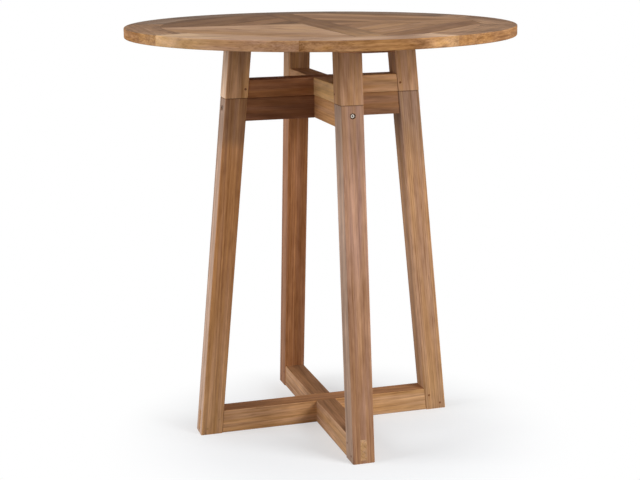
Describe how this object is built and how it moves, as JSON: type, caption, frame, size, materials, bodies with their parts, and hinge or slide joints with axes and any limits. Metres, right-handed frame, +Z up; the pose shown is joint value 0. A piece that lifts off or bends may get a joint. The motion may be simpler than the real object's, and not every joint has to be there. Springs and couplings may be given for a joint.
{
  "type": "bar table",
  "caption": "Tall round bar table in solid teak with a boarded, rimmed top on two crossed, splayed trestle frames that stand one on the other.",
  "frame": {"origin": "on the floor at the middle of the table", "axes": "+Z up, +X to the right leg, +Y to the back leg"},
  "size_m": [0.985, 0.985, 1.05],
  "materials": {
    "teak_rim": "sanded and oiled",
    "teak_cross_boards": "sanded and oiled",
    "teak_slats": "sanded and oiled",
    "teak_frame": "sanded and oiled",
    "teak_pegs": "end grain, sanded",
    "beech_joiners": "planed",
    "stainless_steel": "satin",
    "brass": "turned"
  },
  "bodies": {
    "root": {"rim_right": "teak_rim", "rim_back_right": "teak_rim", "rim_back": "teak_rim", "rim_back_left": "teak_rim", "rim_left": "teak_rim", "rim_front_left": "teak_rim", "rim_front": "teak_rim", "rim_front_right": "teak_rim", "cross_board_long": "teak_cross_boards", "cross_board_left": "teak_cross_boards", "cross_board_right": "teak_cross_boards", "slat_back_right_1": "teak_slats", "slat_back_right_2": "teak_slats", "slat_back_right_3": "teak_slats", "slat_back_right_4": "teak_slats", "slat_back_right_5": "teak_slats", "slat_back_left_1": "teak_slats", "slat_back_left_2": "teak_slats", "slat_back_left_3": "teak_slats", "slat_back_left_4": "teak_slats", "slat_back_left_5": "teak_slats", "slat_front_left_1": "teak_slats", "slat_front_left_2": "teak_slats", "slat_front_left_3": "teak_slats", "slat_front_left_4": "teak_slats", "slat_front_left_5": "teak_slats", "slat_front_right_1": "teak_slats", "slat_front_right_2": "teak_slats", "slat_front_right_3": "teak_slats", "slat_front_right_4": "teak_slats", "slat_front_right_5": "teak_slats", "batten_left_right": "teak_frame", "batten_front_back": "teak_frame", "post_right": "teak_frame", "post_back": "teak_frame", "post_left": "teak_frame", "post_front": "teak_frame", "upper_rail_left_right": "teak_frame", "upper_rail_front_back": "teak_frame", "leg_right": "teak_frame", "leg_back": "teak_frame", "leg_left": "teak_frame", "leg_front": "teak_frame", "lower_rail_left_right": "teak_frame", "lower_rail_front_back": "teak_frame", "foot_rail_left_right": "teak_frame", "foot_rail_front_back": "teak_frame", "foot_pegs": "teak_pegs", "post_pegs": "teak_pegs", "seam_dowels": "beech_joiners", "rim_splines": "beech_joiners", "leg_bolts": "stainless_steel", "leg_bolt_washers": "stainless_steel", "frame_bolts": "stainless_steel", "frame_bolt_washers": "stainless_steel", "barrel_nuts": "stainless_steel", "batten_screws": "stainless_steel", "insert_nuts": "brass"}
  },
  "joints": []
}
